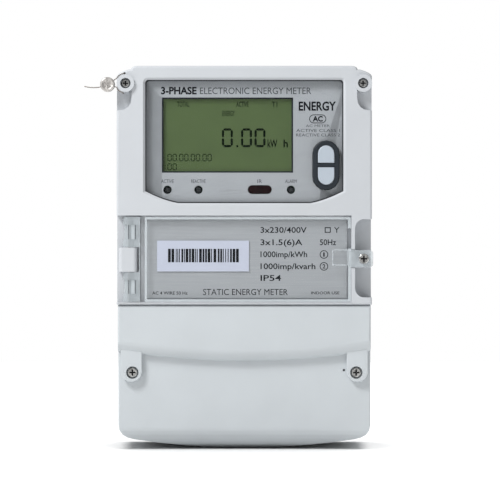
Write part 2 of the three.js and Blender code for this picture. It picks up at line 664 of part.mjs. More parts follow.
// Moulded terminal block: a wire socket below, a clamp chamber from above and a screw shaft in front.
function terminalBlock() {
  const { half, top, bottom, back, front } = BLOCK;
  const profile = new THREE.Shape();
  profile.moveTo(back, bottom);
  profile.lineTo(back, top);
  profile.lineTo(front, top);
  profile.lineTo(front, -65);
  profile.lineTo(-35, -75);
  profile.lineTo(-35, bottom);
  profile.closePath();
  let body = sideways(profile, -half, half);
  const chamber = CLAMP_SIZE / 2 + GAP;
  const mouth = 3;
  for (let i = 0; i < TERMINALS; i += 1) {
    const x = terminalX(i);
    body = cut(
      body,
      box(x - chamber, x + chamber, WIRE_Y - chamber, WIRE_Y + chamber, CLAMP.bottom - GAP, top + OVERCUT),
      rodZ(x, WIRE_Y, SOCKET_RADIUS, bottom - 1, CLAMP.bottom + 1, SMALL_SIDES),
      rodZ(x, WIRE_Y, SOCKET_RADIUS + 1.3, bottom - 0.01, bottom + mouth, SMALL_SIDES, SOCKET_RADIUS - 0.1),
      rodY(x, TERMINAL_SCREW_Z, 3.8, WIRE_Y, front - OVERCUT, SMALL_SIDES),
    );
  }
  for (let i = 0; i < TERMINALS - 1; i += 1) {
    const x = terminalX(i) + PITCH / 2;
    body = join(body, box(x - 0.8, x + 0.8, front - 2.5, front + 1, -64, top));
  }
  return body;
}

// Brass clamp: a bar with a wire bore from below and a screw hole from the front.
function terminalClamp(x) {
  const half = CLAMP_SIZE / 2;
  return cut(
    box(x - half, x + half, WIRE_Y - half, WIRE_Y + half, CLAMP.bottom, CLAMP.top),
    rodZ(x, WIRE_Y, CLAMP_BORE_RADIUS, CLAMP.bottom - 1, -48, SMALL_SIDES),
    rodY(x, TERMINAL_SCREW_Z, 2.3, WIRE_Y, WIRE_Y - half - 1, SMALL_SIDES),
  );
}

// Copper link that leaves one clamp, passes through a current transformer and returns to another.
function busbar(fromX, toX) {
  const width = 5;
  const top = -10;
  const foot = CLAMP.top + GAP;
  const s = new THREE.Shape();
  s.moveTo(fromX - width / 2, foot);
  s.lineTo(fromX + width / 2, foot);
  s.lineTo(fromX + width / 2, top - width);
  s.lineTo(toX - width / 2, top - width);
  s.lineTo(toX - width / 2, foot);
  s.lineTo(toX + width / 2, foot);
  s.lineTo(toX + width / 2, top);
  s.lineTo(fromX - width / 2, top);
  s.closePath();
  return prism(s, WIRE_Y + 1, WIRE_Y - 1);
}

function currentTransformer(x) {
  const centreZ = -12.5;
  const ring = [[5, -6.5], [9.5, -6.5], [10.5, -5.5], [10.5, 5.5], [9.5, 6.5], [5, 6.5], [5, -6.5]];
  const points = ring.map(([radius, along]) => new THREE.Vector2(radius, along));
  const geometry = new THREE.LatheGeometry(points, FINE_SIDES);
  return solid(geometry.rotateZ(-Math.PI / 2).translate(x, WIRE_Y, centreZ));
}

function powerBoard() {
  const front = -10 - BOARD_THICKNESS;
  return join(
    box(-62, 62, front, -10, 34, 112),
    rodY(44, 92, 6, front + 0.5, front - 20, 20),
    rodY(28, 92, 6, front + 0.5, front - 20, 20),
    box(-56, -44, front - 9, front + 0.5, 88, 108),
    box(-38, -32, front - 7, front + 0.5, 90, 106),
    box(-50, 50, front - 8, front + 0.5, 35, 41),
  );
}

function mainsTransformer() {
  const back = -12;
  return join(
    box(-46, -10, back - 26, back, 52, 62),
    box(-46, -10, back - 26, back, 72, 82),
    box(-46, -40, back - 26, back, 52, 82),
    box(-16, -10, back - 26, back, 52, 82),
    box(-37, -19, back - 24, back - 2, 61, 73),
  );
}

function backupBattery() {
  return join(rodX(-20, 66, 7.2, 12, 37), rodX(-20, 66, 2.6, 36.5, 38, SMALL_SIDES));
}

function mainBoard() {
  const back = MAIN_BOARD_BACK;
  const front = back - BOARD_THICKNESS;
  const switchHeight = 0.8;
  const base = join(box(-78, 78, front, back, 38, 92), box(-62, 62, front, back, 91, 118));
  const chips = [
    box(-30, -12, back - 0.5, back + 1.6, 66, 84),
    box(2, 14, back - 0.5, back + 1.4, 70, 78),
    box(-60, -44, back - 0.5, back + 9, 50, 60),
    box(40, 70, back - 0.5, back + 7, 78, 88),
  ];
  const switches = sides.map((side) => {
    const z = BUTTONS.z + side * 7;
    return box(BUTTONS.x - 3, BUTTONS.x + 3, front - switchHeight, front + 0.5, z - 3, z + 3);
  });
  return join(base, ...chips, ...switches);
}

// Clear window: a plug that fills the opening in the cover and a flange that holds it from behind.
function windowLens() {
  const inside = FRONT + COVER_FACE_WALL + GAP;
  const flange = prism(windowOutline(1.8), inside + LENS_FLANGE, inside);
  const plug = prism(windowOutline(-GAP), inside + 0.5, LENS_FRONT);
  const hole = pill(BUTTONS.x, BUTTONS.z, BUTTONS.width + 2 * GAP, BUTTONS.height + 2 * GAP);
  return cut(join(flange, plug), prism(hole, -60, FRONT - OVERCUT));
}

function displayPanel() {
  const back = PANEL_FRONT + PANEL_THICKNESS;
  const cutters = [
    prism(rectangle(LCD.left, LCD.right, LCD.bottom, LCD.top), -60, FRONT),
    prism(pill(BUTTONS.x, BUTTONS.z, BUTTONS.width + 2 * GAP, BUTTONS.height + 2 * GAP), -60, FRONT),
    prism(pill(INFRARED.x, INFRARED.z, INFRARED.width + 2 * GAP, INFRARED.height + 2 * GAP), -60, FRONT),
  ];
  for (const [x, z] of Object.values(LED_SPOTS)) {
    cutters.push(rodY(x, z, LED_RADIUS + GAP, -60, FRONT));
  }
  return cut(prism(windowOutline(1.6), back, PANEL_FRONT), ...cutters);
}

// Holder behind the panel: a lip that borders the glass and a pocket for the glass and backlight.
function lcdFrame() {
  const lipFront = PANEL_FRONT + PANEL_THICKNESS + GAP;
  const lipBack = lipFront + 0.8;
  const back = MAIN_BOARD_BACK - BOARD_THICKNESS - GAP;
  const { left, right, bottom, top } = LCD;
  const lip = 1;
  const pocket = 1;
  const rim = 3;
  return cut(
    prism(rectangle(left - rim, right + rim, bottom - rim, top + rim), back, lipFront),
    prism(rectangle(left + lip, right - lip, bottom + lip, top - lip), back + 1, lipFront - 1),
    prism(rectangle(left - pocket, right + pocket, bottom - pocket, top + pocket), back + 1, lipBack),
  );
}

function lcdLayer(front, thickness) {
  const edge = 0.7;
  const { left, right, bottom, top } = LCD;
  return prism(rectangle(left - edge, right + edge, bottom - edge, top + edge), front + thickness, front);
}

function led(x, z) {
  const back = MAIN_BOARD_BACK - BOARD_THICKNESS - GAP;
  const length = 7.6;
  const profile = [
    new THREE.Vector2(0, 0),
    new THREE.Vector2(LED_RADIUS, 0),
    new THREE.Vector2(LED_RADIUS, length - LED_RADIUS * 0.7),
  ];
  for (let i = 1; i <= 3; i += 1) {
    const angle = (i / 3) * (Math.PI / 2);
    const radius = i === 3 ? 0 : LED_RADIUS * Math.cos(angle);
    profile.push(new THREE.Vector2(radius, length - LED_RADIUS * 0.7 * (1 - Math.sin(angle))));
  }
  const geometry = new THREE.LatheGeometry(profile, SMALL_SIDES);
  return solid(geometry.rotateX(Math.PI).translate(x, back, z));
}

function infraredWindow() {
  return prism(pill(INFRARED.x, INFRARED.z, INFRARED.width, INFRARED.height), -66, PANEL_FRONT);
}

// Z range of one button's half of the opening inside the bezel: +1 is the upper, -1 the lower.
function buttonHalf(side, clearance) {
  const { x, z, width, height, rim, divider } = BUTTONS;
  const opening = pill(x, z, width - 2 * rim - 2 * clearance, height - 2 * rim - 2 * clearance);
  const near = z + side * (divider / 2 + clearance);
  const far = z + side * height;
  return { opening, low: Math.min(near, far), high: Math.max(near, far) };
}

function buttonBezel() {
  const { x, z, width, height } = BUTTONS;
  const ring = edgedPrism(pill(x, z, width, height), -66, FRONT - 0.4, 0.8, 2);
  const holes = sides.map((side) => {
    const { opening, low, high } = buttonHalf(side, 0);
    return prism(opening, -64, FRONT - OVERCUT).intersect(box(x - 20, x + 20, -90, -50, low, high));
  });
  return cut(ring, ...holes);
}

function pushButton(side) {
  const { x } = BUTTONS;
  const { opening, low, high } = buttonHalf(side, GAP);
  const stemZ = BUTTONS.z + side * 7;
  const cap = edgedPrism(opening, -69, BUTTON_FRONT, 0.6, 2)
    .intersect(box(x - 20, x + 20, -90, -50, low, high));
  return join(cap, rodY(x, stemZ, 2.2, -64, -70, SMALL_SIDES));
}

function sealDisc() {
  const half = SEAL.thickness / 2;
  const rim = half - 0.5;
  const disc = join(
    rodY(SEAL.x, SEAL.z, SEAL.radius - 0.5, SEAL.y + half, SEAL.y - half),
    rodY(SEAL.x, SEAL.z, SEAL.radius, SEAL.y + rim, SEAL.y - rim),
  );
  return cut(disc, wire(SEAL_ROUTE, SEAL.bore), wire(SEAL_RETURN, SEAL.bore));
}

addPiece('base_case', baseCase(), baseGrey);
addPiece('hanger_plate', hangerPlate(), steel);
addPiece('power_board', powerBoard(), boardGreen);
addPiece('mains_transformer', mainsTransformer(), ferrite);
addPiece('backup_battery', backupBattery(), batteryWrap);
addPiece('terminal_block', terminalBlock(), blockGrey);
for (let i = 0; i < TERMINALS; i += 1) {
  addPiece(`terminal_clamp_${i + 1}`, terminalClamp(terminalX(i)), brass);
  addPiece(`terminal_screw_${i + 1}`, terminalScrew(terminalX(i)), steel);
}
for (let phase = 0; phase < 3; phase += 1) {
  const first = phase * 3;
  addPiece(`busbar_${phase + 1}`, busbar(terminalX(first), terminalX(first + 2)), copper);
  addPiece(`current_transformer_${phase + 1}`, currentTransformer(terminalX(first + 1)), ferrite);
}

addPiece('front_cover', frontCover(), caseGrey);
for (const [hand, side] of [['left', -1], ['right', 1]]) {
  const x = side * TOP_SCREW.x;
  addPiece(`cover_screw_${hand}`, screw(x, TOP_SCREW.z, -74.4, 2.5, 2.7, 1.9, -14), steel);
}
addPiece('seal_disc', sealDisc(), leadGrey);
addPiece('seal_wire', wire(SEAL_ROUTE, SEAL.wireRadius), steel);
addPiece('seal_wire_return', wire(SEAL_RETURN, SEAL.wireRadius), steel);

addPiece('main_board', mainBoard(), boardGreen);
addPiece('lcd_frame', lcdFrame(), darkPlastic);
addPiece('lcd_glass', lcdLayer(-67.8, 2.8), lcdGreen);
addPiece('lcd_backlight', lcdLayer(-64.7, 2.6), backlightWhite);
addPiece('display_panel', displayPanel(), panelGrey);
addPiece('window_lens', windowLens(), clear);
for (const [name, [x, z]] of Object.entries(LED_SPOTS)) {
  addPiece(name, led(x, z), ledGrey);
}
addPiece('infrared_window', infraredWindow(), infraredRed);
addPiece('button_bezel', buttonBezel(), darkPlastic);
addPiece('button_up', pushButton(1), buttonGrey);
addPiece('button_down', pushButton(-1), buttonGrey);

const plateFront = RECESS_FLOOR - GAP - PLATE.thickness;
const labelBack = plateFront - GAP;
addPiece(
  'rating_plate',
  prism(rectangle(PLATE.left, PLATE.right, PLATE.bottom, PLATE.top), RECESS_FLOOR - GAP, plateFront),
  plateGrey,
);
addPiece(
  'barcode_label',
  prism(rectangle(LABEL.left, LABEL.right, LABEL.bottom, LABEL.top), labelBack, labelBack - LABEL.thickness),
  labelWhite,
);
addPiece('clear_door', clearDoor(), clear);
addPiece(
  'hinge_pin',
  rodZ(HINGE.x, HINGE.y, PIN_RADIUS, DOOR.bottom + 0.4, DOOR.top - 0.4, SMALL_SIDES),
  steel,
);
addPiece('door_screw', screw(DOOR_SCREW.x, DOOR_SCREW.z, -77.4, 1.8, 3.4, 1.8, -66), steel);

addPiece('terminal_cover', terminalCover(), lowerGrey);
for (const [hand, side] of [['left', -1], ['right', 1]]) {
  const x = side * LOWER_SCREW.x;
  const headFront = LOWER_FRONT - 2.4;
  addPiece(`terminal_cover_screw_${hand}`, screw(x, LOWER_SCREW.z, headFront, 2.6, 3.3, 1.9, -14), steel);
}

export default group;
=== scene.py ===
import json
import math
import random

import bmesh
import bpy
from mathutils import Matrix, Vector


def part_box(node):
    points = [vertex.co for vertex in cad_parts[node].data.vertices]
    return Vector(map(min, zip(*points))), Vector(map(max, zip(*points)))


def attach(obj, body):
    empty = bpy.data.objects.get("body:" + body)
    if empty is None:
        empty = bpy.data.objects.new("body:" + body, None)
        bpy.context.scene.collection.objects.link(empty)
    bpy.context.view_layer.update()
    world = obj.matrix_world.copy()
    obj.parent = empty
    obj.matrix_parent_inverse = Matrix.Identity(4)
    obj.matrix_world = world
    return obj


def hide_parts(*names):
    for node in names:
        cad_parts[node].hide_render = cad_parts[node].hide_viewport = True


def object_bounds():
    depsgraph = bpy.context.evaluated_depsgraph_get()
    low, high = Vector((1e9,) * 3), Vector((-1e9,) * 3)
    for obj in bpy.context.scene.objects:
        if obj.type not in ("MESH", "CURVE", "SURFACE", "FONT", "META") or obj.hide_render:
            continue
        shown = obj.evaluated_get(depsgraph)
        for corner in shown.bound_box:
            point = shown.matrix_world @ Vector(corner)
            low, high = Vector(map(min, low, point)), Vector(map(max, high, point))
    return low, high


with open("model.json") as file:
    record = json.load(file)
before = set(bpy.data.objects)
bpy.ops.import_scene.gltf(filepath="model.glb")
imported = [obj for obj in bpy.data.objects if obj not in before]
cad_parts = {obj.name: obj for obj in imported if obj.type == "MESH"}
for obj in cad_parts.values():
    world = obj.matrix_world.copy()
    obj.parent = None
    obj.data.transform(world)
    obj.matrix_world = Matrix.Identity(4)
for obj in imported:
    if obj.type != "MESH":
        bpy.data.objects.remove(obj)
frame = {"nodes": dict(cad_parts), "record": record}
NODES = frame["nodes"]
CAD_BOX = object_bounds()
MM = 0.001  # the helpers below take millimetres and build in metres

# Planes that face the viewer, as Y in millimetres.
GLASS_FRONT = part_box("lcd_glass")[0][1] / MM
PANEL_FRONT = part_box("display_panel")[0][1] / MM
LENS_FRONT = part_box("window_lens")[0][1] / MM
PLATE_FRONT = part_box("rating_plate")[0][1] / MM
LABEL_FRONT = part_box("barcode_label")[0][1] / MM
DOOR_FRONT = -75  # the pane's face
BLOCK_RIB = 2.5  # how far the ribs between terminals stand off the block's face
BLOCK_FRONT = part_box("terminal_block")[0][1] / MM + BLOCK_RIB
WINDOW = {"half_width": 66, "top": 118.4, "side_bottom": 44.3, "bottom": 36.3, "bottom_half": 44}
DOOR = {"left": -66.2, "right": 70.9, "bottom": -29.3, "top": 26.9}  # what shows of its pane
INK_LIFT = 0.03  # how far printing stands off the surface it is on
INK_THICKNESS = 0.02
ROOM_LIGHT = 0.45  # how bright the white room is as a light


# ---------- camera, light and floor ----------
def make_camera():
    """A long lens square to the front, as a catalogue picture is taken."""
    distance = 1.675
    case_depth = 0.075
    view_width = 0.3327  # at the case's front
    data = bpy.data.cameras.new("camera")
    data.sensor_width = 36
    data.lens = data.sensor_width * (distance - case_depth) / view_width
    data.clip_start = 0.01
    camera = bpy.data.objects.new("camera", data)
    camera.location = (0.0038, -distance, 0.0051)
    camera.rotation_euler = (math.pi / 2, 0, 0)
    bpy.context.scene.collection.objects.link(camera)
    bpy.context.scene.camera = camera


def area_light(name, location, size, power, floor, on_floor):
    """A square lamp aimed at the object, which lights either the floor only or all but the floor."""
    data = bpy.data.lights.new(name, "AREA")
    data.size = size
    data.energy = power
    light = bpy.data.objects.new(name, data)
    light.location = location
    light.rotation_euler = (-Vector(location)).to_track_quat("-Z", "Y").to_euler()
    bpy.context.scene.collection.objects.link(light)
    reached = bpy.data.collections.new(name + "_reaches")
    reached.objects.link(floor)
    if not on_floor:
        reached.collection_objects[0].light_linking.link_state = "EXCLUDE"
    light.light_linking.receiver_collection = reached


def make_light(floor):
    """A white room, a soft key that rakes over the front from the upper left, and a wide floor lamp."""
    world = bpy.data.worlds.new("studio")
    world.use_nodes = True
    nodes = world.node_tree.nodes
    links = world.node_tree.links
    seen_or_lit = nodes.new("ShaderNodeLightPath")
    strength = nodes.new("ShaderNodeMapRange")
    strength.inputs["To Min"].default_value = ROOM_LIGHT
    strength.inputs["To Max"].default_value = 1
    links.new(seen_or_lit.outputs["Is Camera Ray"], strength.inputs["Value"])
    background = nodes["Background"]
    background.inputs["Color"].default_value = (1, 1, 1, 1)
    links.new(strength.outputs["Result"], background.inputs["Strength"])
    bpy.context.scene.world = world
    bpy.context.scene.view_settings.view_transform = "Standard"
    area_light("key", (-0.7, -0.62, 0.95), 0.35, 18, floor, False)
    area_light("floor_lamp", (0, 0, 2.2), 3, 105, floor, True)


def make_floor():
    """A pale studio floor."""
    bm = bmesh.new()
    bmesh.ops.create_circle(bm, cap_ends=True, segments=64, radius=1.2)
    mesh = bpy.data.meshes.new("floor")
    bm.to_mesh(mesh)
    bm.free()
    floor = bpy.data.objects.new("floor", mesh)
    floor.location.z = CAD_BOX[0][2] - 0.0005
    bpy.context.scene.collection.objects.link(floor)
    m = bpy.data.materials.new("floor_paper")
    m.use_nodes = True
    shader = m.node_tree.nodes["Principled BSDF"]
    shader.inputs["Base Color"].default_value = (0.85, 0.85, 0.85, 1)
    shader.inputs["Roughness"].default_value = 0.9
    mesh.materials.append(m)
    return floor


# ---------- materials ----------
def material(name, colour, rough, metal=0.0, mottle=0.03, mottle_size=25, grain=0.0, grain_size=0.5,
             stretch=(1, 1, 1), coat=0.0, alpha=1.0, rough_range=0.05, specular=0.5):
    """A procedural surface: mottled colour, uneven gloss and a fine grain, sizes in millimetres."""
    m = bpy.data.materials.new(name)
    m.use_nodes = True
    nodes = m.node_tree.nodes
    links = m.node_tree.links
    shader = nodes["Principled BSDF"]
    coords = nodes.new("ShaderNodeTexCoord")
    mapping = nodes.new("ShaderNodeMapping")
    mapping.inputs["Scale"].default_value = stretch
    links.new(coords.outputs["Object"], mapping.inputs["Vector"])

    broad = nodes.new("ShaderNodeTexNoise")
    broad.inputs["Scale"].default_value = 1000 / mottle_size
    broad.inputs["Detail"].default_value = 4
    links.new(mapping.outputs["Vector"], broad.inputs["Vector"])
    ramp = nodes.new("ShaderNodeValToRGB")
    ramp.color_ramp.elements[0].position = 0.3
    ramp.color_ramp.elements[1].position = 0.7
    for element, factor in zip(ramp.color_ramp.elements, (1 - mottle, 1 + mottle)):
        element.color = (*(min(1, c * factor) for c in colour), 1)
    links.new(broad.outputs["Fac"], ramp.inputs["Fac"])
    links.new(ramp.outputs["Color"], shader.inputs["Base Color"])

    gloss = nodes.new("ShaderNodeMapRange")
    gloss.inputs["To Min"].default_value = max(0.0, rough - rough_range)
    gloss.inputs["To Max"].default_value = rough + rough_range
    fine = nodes.new("ShaderNodeTexNoise")
    fine.inputs["Scale"].default_value = 1000 / grain_size
    fine.inputs["Detail"].default_value = 3
    links.new(mapping.outputs["Vector"], fine.inputs["Vector"])
    links.new(fine.outputs["Fac"], gloss.inputs["Value"])
    links.new(gloss.outputs["Result"], shader.inputs["Roughness"])
    if grain > 0:
        bump = nodes.new("ShaderNodeBump")
        bump.inputs["Strength"].default_value = 1
        bump.inputs["Distance"].default_value = grain * MM
        links.new(fine.outputs["Fac"], bump.inputs["Height"])
        links.new(bump.outputs["Normal"], shader.inputs["Normal"])
    shader.inputs["Metallic"].default_value = metal
    shader.inputs["Coat Weight"].default_value = coat
    shader.inputs["Specular IOR Level"].default_value = specular
    shader.inputs["Alpha"].default_value = alpha
    return m


LOOKS = {
    "cover_plastic": dict(
        colour=(0.495, 0.517, 0.543), rough=0.42, mottle=0.02, grain=0.012, grain_size=0.6,
    ),
    "terminal_cover_plastic": dict(
        colour=(0.495, 0.528, 0.55), rough=0.42, mottle=0.02, grain=0.012, grain_size=0.6,
    ),
    "base_plastic": dict(colour=(0.42, 0.45, 0.475), rough=0.5, mottle=0.03, grain=0.02, grain_size=0.7),
    "panel_grey": dict(colour=(0.36, 0.385, 0.41), rough=0.45, mottle=0.02, grain=0.004, grain_size=0.25),
    "window_plastic": dict(colour=(0.03, 0.035, 0.035), rough=0.06, alpha=0.05, rough_range=0.02),
    "clear_edge": dict(colour=(0.55, 0.6, 0.63), rough=0.12, alpha=0.4, mottle=0.02, rough_range=0.02),
    # Light half-clear lines: the raised outline by the door's tab, and painted highlights on the pane's
    # edge and the knuckles.
    "clear_line_and_painted_highlight": dict(colour=(0.62, 0.67, 0.7), rough=0.15, alpha=0.5, mottle=0.02, rough_range=0.02),
    "lcd_green": dict(
        colour=(0.08, 0.12, 0.048), rough=0.35, mottle=0.05, mottle_size=18, grain_size=0.2,
        specular=0.25,
    ),
    "backlight": dict(colour=(0.78, 0.82, 0.7), rough=0.6, grain=0.01),
    "dark_plastic": dict(
        colour=(0.019, 0.024, 0.03), rough=0.4, mottle=0.15, grain=0.01, grain_size=0.3, specular=0.22,
    ),
    "button_grey": dict(colour=(0.39, 0.44, 0.495), rough=0.38, mottle=0.03, grain=0.008, grain_size=0.3),
    "led_epoxy": dict(
        colour=(0.024, 0.028, 0.03), rough=0.2, mottle=0.2, mottle_size=2, coat=0.15, specular=0.3,
    ),
    "infrared_red": dict(
        colour=(0.012, 0.004, 0.005), rough=0.3, mottle=0.3, mottle_size=3, specular=0.12,
    ),
    "plate_metal": dict(
        colour=(0.375, 0.398, 0.42), rough=0.45, metal=0.1, mottle=0.04, mottle_size=3, grain=0.004,
        grain_size=0.4, stretch=(0.08, 1, 2.5),
    ),
    "label_paper": dict(colour=(0.53, 0.57, 0.68), rough=0.55, mottle=0.02, grain=0.006, grain_size=0.2),
    # The screws' strong, fine mottle is painted reflection: light and dark blotches that stand in for what
    # bright steel reflects.
    "screw_steel": dict(
        colour=(0.42, 0.42, 0.41), rough=0.28, metal=1, mottle=0.45, mottle_size=1.6, grain=0.05,
        grain_size=0.6,
    ),
    "zinc_steel": dict(
        colour=(0.58, 0.6, 0.62), rough=0.35, metal=1, mottle=0.12, mottle_size=6, grain=0.01,
        grain_size=1.2,
    ),
    "seal_wire_steel": dict(
        colour=(0.3, 0.27, 0.25), rough=0.4, metal=1, mottle=0.3, mottle_size=1.5, grain=0.01,
    ),
    "lead": dict(
        colour=(0.47, 0.45, 0.43), rough=0.42, metal=0.7, mottle=0.3, mottle_size=2.2, grain=0.15,
        grain_size=1.3,
    ),
    "brass": dict(colour=(0.6, 0.43, 0.17), rough=0.3, metal=1, mottle=0.1, mottle_size=4, grain=0.01),
    "copper": dict(colour=(0.68, 0.33, 0.2), rough=0.3, metal=1, mottle=0.12, mottle_size=5, grain=0.01),
    "circuit_board": dict(
        colour=(0.012, 0.09, 0.04), rough=0.3, mottle=0.35, mottle_size=1.4, grain=0.02, coat=0.3,
    ),
    "transformer_core": dict(
        colour=(0.03, 0.032, 0.035), rough=0.6, mottle=0.3, mottle_size=3, grain=0.04, grain_size=0.5,
        stretch=(1, 1, 8),
    ),
    "battery_sleeve": dict(colour=(0.05, 0.11, 0.25), rough=0.3, mottle=0.08, grain=0.02, grain_size=3),
    "block_plastic": dict(colour=(0.06, 0.065, 0.07), rough=0.5, mottle=0.15, grain=0.03, grain_size=0.6),
    "ink": dict(
        colour=(0.007, 0.008, 0.011), rough=0.55, mottle=0.3, mottle_size=1, grain_size=0.2,
        specular=0.15,
    ),
    # Grey ink for fine print; also the painted shade lines on the door's knuckles.
    "grey_ink_and_painted_shade": dict(
        colour=(0.05, 0.055, 0.06), rough=0.55, mottle=0.3, mottle_size=1, grain_size=0.2,
        specular=0.15,
    ),
    "ink_white": dict(colour=(0.75, 0.77, 0.78), rough=0.5, mottle=0.1, mottle_size=1, grain_size=0.2),
    "segment_on": dict(colour=(0.003, 0.006, 0.003), rough=0.5, mottle=0.3, mottle_size=2, specular=0.05),
    "segment_dim": dict(
        colour=(0.017, 0.027, 0.012), rough=0.5, mottle=0.3, mottle_size=2, specular=0.05,
    ),
    # Painted shade for the bottoms of the screws' cross recesses.
    "painted_recess_shade": dict(colour=(0.012, 0.012, 0.013), rough=0.6, mottle=0.3, mottle_size=0.5, specular=0.1),
    # Also the colour of the painted shade strip round the display window.
    "gasket": dict(
        colour=(0.02, 0.022, 0.027), rough=0.55, mottle=0.2, mottle_size=4, grain=0.02, grain_size=0.3,
    ),
}
MATERIALS = {name: material(name, **look) for name, look in LOOKS.items()}


def soften(name, width, segments=2, angle=30):
    """Gathers a node's facets into clean faces and rounds its edges, without moving its own vertices."""
    node = NODES[name]
    for polygon in node.data.polygons:
        polygon.use_smooth = True
    weld = node.modifiers.new("weld", "WELD")
    weld.merge_threshold = 1e-6
    planar = node.modifiers.new("planar", "DECIMATE")
    planar.decimate_type = "DISSOLVE"
    planar.angle_limit = math.radians(0.5)
    planar.delimit = {"MATERIAL"}
    bevel = node.modifiers.new("bevel", "BEVEL")
    bevel.width = width * MM
    bevel.segments = segments
    bevel.limit_method = "ANGLE"
    bevel.angle_limit = math.radians(angle)
    bevel.harden_normals = True
    bevel.use_clamp_overlap = True
    node.modifiers.new("normals", "WEIGHTED_NORMAL").keep_sharp = True


BEVELS = {
    "front_cover": 0.4, "terminal_cover": 0.4, "base_case": 0.5, "button_bezel": 0.3,
    "button_up": 0.35, "button_down": 0.35, "hanger_plate": 0.3, "terminal_block": 0.4, "main_board": 0.2,
    "power_board": 0.3, "mains_transformer": 0.4, "backup_battery": 0.5, "lcd_frame": 0.3,
    "rating_plate": 0.12, "infrared_window": 0.3, "clear_door": 0.35,
}
FINE_BEVEL = 0.15
CLEAR_LOOKS = {"window_lens": "window_plastic", "clear_door": "clear_edge"}
FLAT_PLATES = ("window_lens", "display_panel", "lcd_glass", "lcd_backlight", "barcode_label")


def flatten_shading(mesh):
    """Shades a plate's faces flat, without the corner normals it was loaded with."""
    if "custom_normal" in mesh.attributes:
        mesh.attributes.remove(mesh.attributes["custom_normal"])
    for polygon in mesh.polygons:
        polygon.use_smooth = False


def dress_nodes():
    for row in frame["record"]["subparts"]:
        name = row["node"]
        node = NODES[name]
        node.data.materials.clear()
        node.data.materials.append(MATERIALS[CLEAR_LOOKS.get(name, row["material_slot"])])
        if name in FLAT_PLATES:
            flatten_shading(node.data)
        else:
            soften(name, BEVELS.get(name, FINE_BEVEL))
    glaze_door()


def glaze_door():
    """The door's pane is clear; its edges, knuckles and tab look milky, as thick clear plastic does."""
    mesh = NODES["clear_door"].data
    mesh.materials.append(MATERIALS["window_plastic"])
    for polygon in mesh.polygons:
        x = polygon.center.x / MM
        in_pane = DOOR["left"] - 1 < x < DOOR["right"] - 1
        if in_pane and abs(polygon.normal.y) > 0.9:
            polygon.material_index = 1


# ---------- mesh helpers ----------
def at(x, y, z):
    return Vector((x * MM, y * MM, z * MM))


def slab(bm, outline, back, front):
    """A flat plate with the given X-Z outline."""
    rear = [bm.verts.new(at(x, back, z)) for x, z in outline]
    fore = [bm.verts.new(at(x, front, z)) for x, z in outline]
    bm.faces.new(rear)
    bm.faces.new(list(reversed(fore)))
    for i in range(len(outline)):
        j = (i + 1) % len(outline)
        bm.faces.new((rear[i], fore[i], fore[j], rear[j]))


def band(bm, outer, inner, back, front):
    """A flat closed strip between two X-Z outlines that have the same number of points."""
    loops = []
    for outline, y in ((outer, back), (outer, front), (inner, front), (inner, back)):
        loops.append([bm.verts.new(at(x, y, z)) for x, z in outline])
    count = len(outer)
    for k in range(4):
        a = loops[k]
        b = loops[(k + 1) % 4]
        for i in range(count):
            j = (i + 1) % count
            bm.faces.new((a[i], a[j], b[j], b[i]))


def bar(left, right, bottom, top):
    return [(left, bottom), (right, bottom), (right, top), (left, top)]


def ring_outline(x, z, radius, sides=32):
    angles = [2 * math.pi * i / sides for i in range(sides)]
    return [(x + radius * math.cos(angle), z + radius * math.sin(angle)) for angle in angles]


def pill_outline(x, z, width, height, steps=10):
    """A slot shape that lies along X."""
    radius = height / 2
    reach = width / 2 - radius
    points = []
    for side, start in ((1, -90), (-1, 90)):
        for i in range(steps + 1):
            angle = math.radians(start + 180 * i / steps)
            points.append((x + side * reach + radius * math.cos(angle), z + radius * math.sin(angle)))
    return points


def quadratic(a, control, b, steps):
    """Points on a quadratic curve, without its first."""
    points = []
    for i in range(1, steps + 1):
        t = i / steps
        weights = ((1 - t) ** 2, 2 * t * (1 - t), t ** 2)
        points.append(tuple(sum(w * p[k] for w, p in zip(weights, (a, control, b))) for k in (0, 1)))
    return points


def window_outline(grow):
    """The display window's outline, moved outwards by a distance."""
    half = WINDOW["half_width"] + grow
    top = WINDOW["top"] + grow
    bottom = WINDOW["bottom"] - grow
    side_bottom = WINDOW["side_bottom"] - grow * 0.2
    corner = (54 + grow * 0.4, 38 - grow * 1.2)
    radius = 2
    start = (WINDOW["bottom_half"], bottom)
    right = [start] + quadratic(start, corner, (half, side_bottom), 10)
    for i in range(9):
        angle = math.radians(90 * i / 8)
        right.append((half - radius + radius * math.cos(angle), top - radius + radius * math.sin(angle)))
    left = [(-x, z) for x, z in reversed(right)]
    return right + left


def finish_piece(bm, name, look, body="base", smooth=False):
    """Turns a bmesh into an object with a material that rides on a body."""
    bmesh.ops.recalc_face_normals(bm, faces=bm.faces)
    for face in bm.faces:
        face.smooth = smooth
    mesh = bpy.data.meshes.new(name)
    bm.to_mesh(mesh)
    bm.free()
    piece = bpy.data.objects.new(name, mesh)
    bpy.context.scene.collection.objects.link(piece)
    mesh.materials.append(MATERIALS[look])
    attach(piece, body)
    return piece


def letters(text, weight):
    """Mesh of a line of lettering, in its own units, extruded half a unit each way."""
    data = bpy.data.curves.new("lettering", "FONT")
    data.body = text
    data.size = 1
    data.offset = weight
    data.extrude = 0.5
    data.resolution_u = 3
    line = bpy.data.objects.new("lettering", data)
    mesh = bpy.data.meshes.new_from_object(line)
    bpy.data.objects.remove(line)
    bpy.data.curves.remove(data)
    return mesh


def extent(mesh, axis):
    values = [v.co[axis] for v in mesh.vertices]
    return min(values), max(values)


def letter_height():
    mesh = letters("H", 0)
    low, high = extent(mesh, 1)
    bpy.data.meshes.remove(mesh)
    return high - low


CAP = letter_height()


